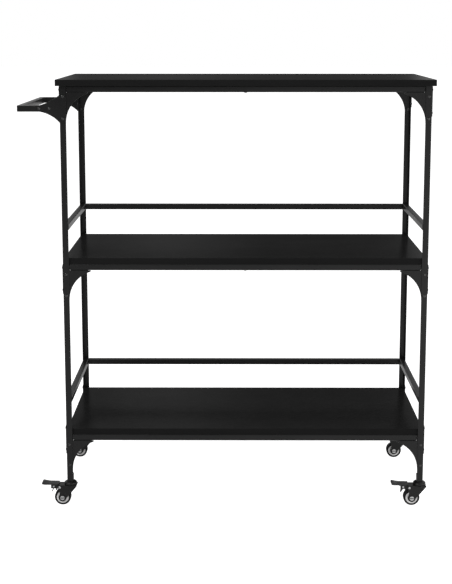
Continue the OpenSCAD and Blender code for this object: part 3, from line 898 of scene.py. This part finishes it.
def make_feet():
    """Blocks in the posts' feet, with the cups, stems and ball races under them."""
    blocks, cups, stems, races = [], [], [], []
    foot_top = POST_FOOT + 16
    for (right, back), stem in zip(FOUR, STEMS):
        foot = block("foot", (POST_T, POST_T, POST_FOOT), (POST_W, POST_W, foot_top))
        carve(foot, rod("bore", BORE_R, 60, (POST_W / 2, POST_W / 2, POST_FOOT), sides=32))
        blocks.append(copies("foot", foot, [corner(right, back)]))
        cups.append(copies("cup", cup_model(), [stem]))
        stems.append(copies("stem", stem_model(), [stem]))
        races.append(copies("race", race_model(), [stem]))
    finish(joined("foot_block_set", blocks),
           POWDER, "frame", ["foot_blocks"])
    finish(joined("castor_cup_set", cups),
           POWDER, "frame", ["castor_cups"], 0.3, 2, 40)
    finish(joined("castor_stem_set", stems),
           ZINC, "frame", ["castor_stems"], 0.25, 2, 40)
    finish(joined("ball_race_set", races),
           ZINC, "frame", [], 0.15, 2, 50)


def cup_model():
    """The pressed cap over the swivel bearing."""
    side, neck_r, neck, wall, hollow = 4.5, 10, 1, 1.3, 3.6
    knee = CUP_LOW + side
    piece = rod("cup", CUP_R, side, (0, 0, CUP_LOW + side / 2), sides=64)
    with Bench(piece) as b:
        b.faces(lambda c, n: n.z > 0.9)
        b.pull(0, 0, POST_FOOT - neck - CUP_LOW - side)
        b.shrink((neck_r / CUP_R, neck_r / CUP_R, 1), (0, 0, 0))
        b.pull(0, 0, neck)
        b.shrink((0.8, 0.8, 1), (0, 0, 0))
        b.edges(lambda p, q: near(p.z, knee) and near(q.z, knee))
        b.soften(1.4, 4)
        b.faces(lambda c, n: n.z < -0.9)
        b.inset(wall)
        b.pull(0, 0, hollow)
    return piece


def stem_model():
    """Stem, spacer sleeve and the riveted end under the fork."""
    low, high = FORK_TOP + 0.3, POST_FOOT - 1.3
    step, into_foot, into_fork = SLEEVE_R - STEM_R, 16.3, 2.4
    rivet_h = 2
    rivet_mid = FORK_TOP - FORK_T - rivet_h / 2 - 0.3
    rivet_foot = rivet_mid - rivet_h / 2 + 0.2
    piece = rod("stem", SLEEVE_R, high - low, (0, 0, (high + low) / 2), sides=40)
    with Bench(piece) as b:
        b.faces(lambda c, n: n.z > 0.9)
        b.inset(step)
        b.pull(0, 0, into_foot)
        b.faces(lambda c, n: n.z < -0.9)
        b.inset(step)
        b.pull(0, 0, -into_fork)
    rivet = rod("rivet", SLEEVE_R, rivet_h, (0, 0, rivet_mid), sides=40)
    with Bench(rivet) as b:
        b.edges(lambda p, q: p.z < rivet_foot and q.z < rivet_foot)
        b.soften(1.0, 4)
    return joined("stem", [piece, rivet])


def race_model():
    """The ring of bearing balls between the cap and the fork."""
    count, ball_r, pitch_r, height = 14, 1.9, 11.6, FORK_TOP + 2.2
    ring_r, ring_h, groove = 13.4, 1.0, 0.3
    balls = []
    for turn in range(count):
        angle = math.tau * turn / count
        middle = Vector((pitch_r * math.cos(angle), pitch_r * math.sin(angle), height))
        bpy.ops.object.select_all(action="DESELECT")
        bpy.ops.mesh.primitive_uv_sphere_add(
            segments=16, ring_count=10, radius=ball_r * MM, location=middle * MM
        )
        balls.append(keep("ball"))
    ring = rod("ring", ring_r, ring_h, (0, 0, FORK_TOP + 1.1), sides=64)
    with Bench(ring) as b:
        b.faces(lambda c, n: n.z > 0.9)
        b.inset(1.2)
        b.pull(0, 0, -groove)
        b.inset(4.2)
        b.pull(0, 0, groove)
    return joined("race", balls + [ring])


def make_tyre(name, stem):
    """A tyre with crowned shoulders around an open middle."""
    half, shoulder = WHEEL_W / 2, 2.2

    def by_hub(p):
        return math.hypot(p.x + TRAIL, p.z - WHEEL_R) < HUB_R + 0.3

    piece = rod("tread_" + name, WHEEL_R, WHEEL_W, (-TRAIL, 0, WHEEL_R), "y", 96)
    with Bench(piece) as b:
        b.edges(lambda p, q: near(abs(p.y), half) and near(p.y, q.y))
        b.soften(shoulder, 5)
        b.faces(lambda c, n: abs(n.y) > 0.95 and near(abs(c.y), half))
        b.inset(WHEEL_R - shoulder - HUB_R)
        bpy.ops.mesh.delete(type="FACE")
        b.edges(lambda p, q: by_hub(p) and by_hub(q))
        bpy.ops.mesh.bridge_edge_loops()
    piece = copies("tread_" + name, piece, [stem])
    finish(piece, TYRE, "wheel_" + name, ["tyre_" + name], 0.25, 2, 50)


def make_hub(name, stem):
    """A dished wheel centre with a raised boss."""
    half, boss_out = HUB_W / 2, 9.7
    dish = ((1.2, 0), (0.5, -0.5), (3.2, 0), (0.8, -1.2), (3.6, 0))
    sunk = -sum(depth for _, depth in dish)
    piece = rod("wheel_centre_" + name, HUB_R, HUB_W, (-TRAIL, 0, WHEEL_R), "y", 72)
    with Bench(piece) as b:
        for side in (1, -1):
            b.faces(lambda c, n: n.y * side > 0.95 and c.y * side > half - 0.1)
            for width, depth in dish:
                b.inset(width, depth)
            b.pull(0, (boss_out - half + sunk) * side, 0)
    carve(piece, rod("bore", AXLE_BORE_R, 60, (-TRAIL, 0, WHEEL_R), "y", 32))
    piece = copies("wheel_centre_" + name, piece, [stem])
    finish(piece, HUB, "wheel_" + name, ["hub_" + name], 0.25, 2, 40)


def make_axle(name, body):
    """The wheel's axle, with a slot across its front head and a dark block in the slot as
    painted shade.
    """
    piece = traced("wheel_axle_" + name, "axle_" + name)
    lo, hi = box("axle_" + name)
    low, high = WHEEL_R - 1.0, WHEEL_R + 1.0
    slot = block("slot", (lo.x - 1, lo.y - 1, low), (hi.x + 1, lo.y + 1.9, high))
    finish(carve(piece, slot), ZINC, body, ["axle_" + name], 0.45, 3, 40)
    # A black block fills the slot's depth: painted shade, where the slot's own shadow would
    # be.
    margin, shade_block_end = 0.7, lo.y + 2.0
    slot_shade_block = block("slot_painted_shade_" + name, (lo.x + margin, lo.y + margin, low),
                   (hi.x - margin, shade_block_end, high))
    finish(slot_shade_block, TYRE, body, [], 0.2, 2, 40)


def make_lever_rivet(name, stem):
    """The rivet across the pedal's arms, outside the fork."""
    head, flare = 1, 0.6
    half, middle = ARM_OUT + head, (-41, 0, FORK_TOP - 3.4)
    piece = rod("lever_rivet_" + name, 1.6, 2 * half, middle, "y", 32)
    with Bench(piece) as b:
        b.cut((0, half - head, 0), (0, 1, 0))
        b.cut((0, head - half, 0), (0, 1, 0))
        b.faces(lambda c, n: abs(n.y) < 0.5 and abs(c.y) > half - head)
        bpy.ops.mesh.extrude_region_shrink_fatten(
            TRANSFORM_OT_shrink_fatten={"value": flare * MM}
        )
    piece = copies("lever_rivet_" + name, piece, [stem])
    finish(piece, ZINC, "brake_" + name, [], 0.3, 3, 40)


def make_castor(index, name):
    """Wheel, fork and axle; the front castors have a brake pedal too."""
    body = "castor_" + name
    make_tyre(name, STEMS[index])
    make_hub(name, STEMS[index])
    finish(traced("swivel_fork_" + name, "fork_" + name),
           POWDER, body, ["fork_" + name], 0.45, 3, 40)
    make_axle(name, body)
    if "back" in name:
        return
    finish(traced("pedal_rivet_" + name, "brake_pin_" + name),
           ZINC, body, ["brake_pin_" + name], 0.3, 3, 40)
    make_lever_rivet(name, STEMS[index])
    finish(traced("pedal_arms_" + name, "brake_lever_" + name),
           POWDER, "brake_" + name, ["brake_lever_" + name], 0.3, 2, 40)
    finish(traced("foot_pedal_" + name, "brake_pad_" + name),
           PEDAL, "brake_" + name, ["brake_pad_" + name], 1.0, 4, 40)


make_feet()
for index, name in enumerate(CORNERS):
    make_castor(index, name)


# Studio -----------------------------------------------------------------------


def make_floor():
    """A pale floor that reads as one with the wall and glows more to the right."""
    bpy.ops.object.select_all(action="DESELECT")
    bpy.ops.mesh.primitive_plane_add(size=60, location=(0, 0, 0))
    floor = bpy.context.object
    floor.name = "floor"
    m = Finish("pale floor", Specular_IOR_Level=0.2, Roughness=0.7)
    drift = m.noise(m.here(), 0.8, 3.0)
    m.colour(m.blend(m.spread(drift, 0.3, 0.7), grey(0.66), grey(0.70)))
    seen = m.add("ShaderNodeLightPath").outputs["Is Camera Ray"]
    seen_glow = 0.92
    m.skin.inputs["Emission Color"].default_value = grey(1.0)
    across = m.add("ShaderNodeSeparateXYZ", {0: m.here()}).outputs["X"]
    glow = m.spread(across, -0.7, 1.5, 0.03, 0.56)
    m.feed(m.sum("MAXIMUM", glow, m.sum("MULTIPLY", seen, seen_glow)),
           m.skin.inputs["Emission Strength"])
    floor.data.materials.append(m.material)


def softbox(name, place, target, size, power):
    data = bpy.data.lights.new(name, "AREA")
    data.shape = "SQUARE"
    data.size = size
    data.energy = power
    light = bpy.data.objects.new(name, data)
    bpy.context.collection.objects.link(light)
    light.visible_camera = False
    light.location = place
    ahead = Vector(target) - Vector(place)
    light.rotation_euler = ahead.to_track_quat("-Z", "Y").to_euler()


def make_studio():
    """Soft light all round; only the camera sees it as plain white."""
    scene = bpy.context.scene
    scene.view_settings.view_transform = "Standard"
    world = bpy.data.worlds.new("studio")
    scene.world = world
    world.use_nodes = True
    s = Shader(world.node_tree)
    back = world.node_tree.nodes["Background"]
    seen = s.add("ShaderNodeLightPath").outputs["Is Camera Ray"]
    place = s.add("ShaderNodeTexCoord").outputs["Generated"]
    way = s.add("ShaderNodeSeparateXYZ", {0: place})
    x, y, z = (way.outputs[axis] for axis in "XYZ")

    # The wall behind: brighter with height, with one soft bright patch on the left.
    climb = s.spread(z, 0.16, 0.34, 0.030, 0.20)
    across = s.sum("MULTIPLY", s.spread(x, 0.02, -0.05),
                   s.spread(x, -0.07, -0.14, 1.0, 0.1))
    patch = s.sum("MULTIPLY", s.spread(z, 0.10, 0.17), s.sum("MULTIPLY", across, 1.9))
    rear = s.sum("MULTIPLY", climb, s.sum("ADD", patch, 1.0))

    # Two bright panels past the cart's ends, and a faint glow low down.
    left = s.spread(x, -0.135, -0.175, 0.0, 0.42)
    right = s.spread(x, 0.152, 0.18, 0.0, 0.5)
    low_glow = s.spread(z, 0.08, 0.15, 0.018, 0.0)
    rear = s.sum("ADD", rear, s.sum("ADD", s.sum("ADD", left, right), low_glow))

    # In front the room is brighter to the right.
    front = s.spread(x, -0.15, 0.15, 0.16, 0.6)
    behind = s.spread(y, 0.2, 0.6)
    room = s.sum("ADD", s.sum("MULTIPLY", behind, rear),
                 s.sum("MULTIPLY", s.sum("SUBTRACT", 1.0, behind), front))
    s.feed(grey(1.0), back.inputs["Color"])
    s.feed(s.sum("MAXIMUM", room, seen), back.inputs["Strength"])
    softbox("key", (-2.2, -2.4, 2.8), (0, 0, 0.6), 2.0, 72)
    softbox("fill", (2.8, -2.0, 1.5), (0, 0, 0.5), 1.8, 26)
    softbox("top", (0.0, 0.6, 3.4), (0, 0, 0), 2.4, 14)


def make_camera():
    """Just above the top board and well in front, looking slightly down."""
    data = bpy.data.cameras.new("camera")
    data.lens = 69.84
    data.sensor_width = 36
    data.shift_x, data.shift_y = -0.0069, -0.18
    data.clip_end = 100
    camera = bpy.data.objects.new("camera", data)
    bpy.context.collection.objects.link(camera)
    camera.location = (0.0197, -2.8470, 1.1790)
    pitch, yaw = math.radians(8.058), math.radians(-0.217)
    level = math.cos(pitch)
    ahead = Vector((math.sin(yaw) * level, math.cos(yaw) * level, -math.sin(pitch)))
    camera.rotation_euler = ahead.to_track_quat("-Z", "Y").to_euler()
    bpy.context.scene.camera = camera


make_floor()
make_studio()
make_camera()
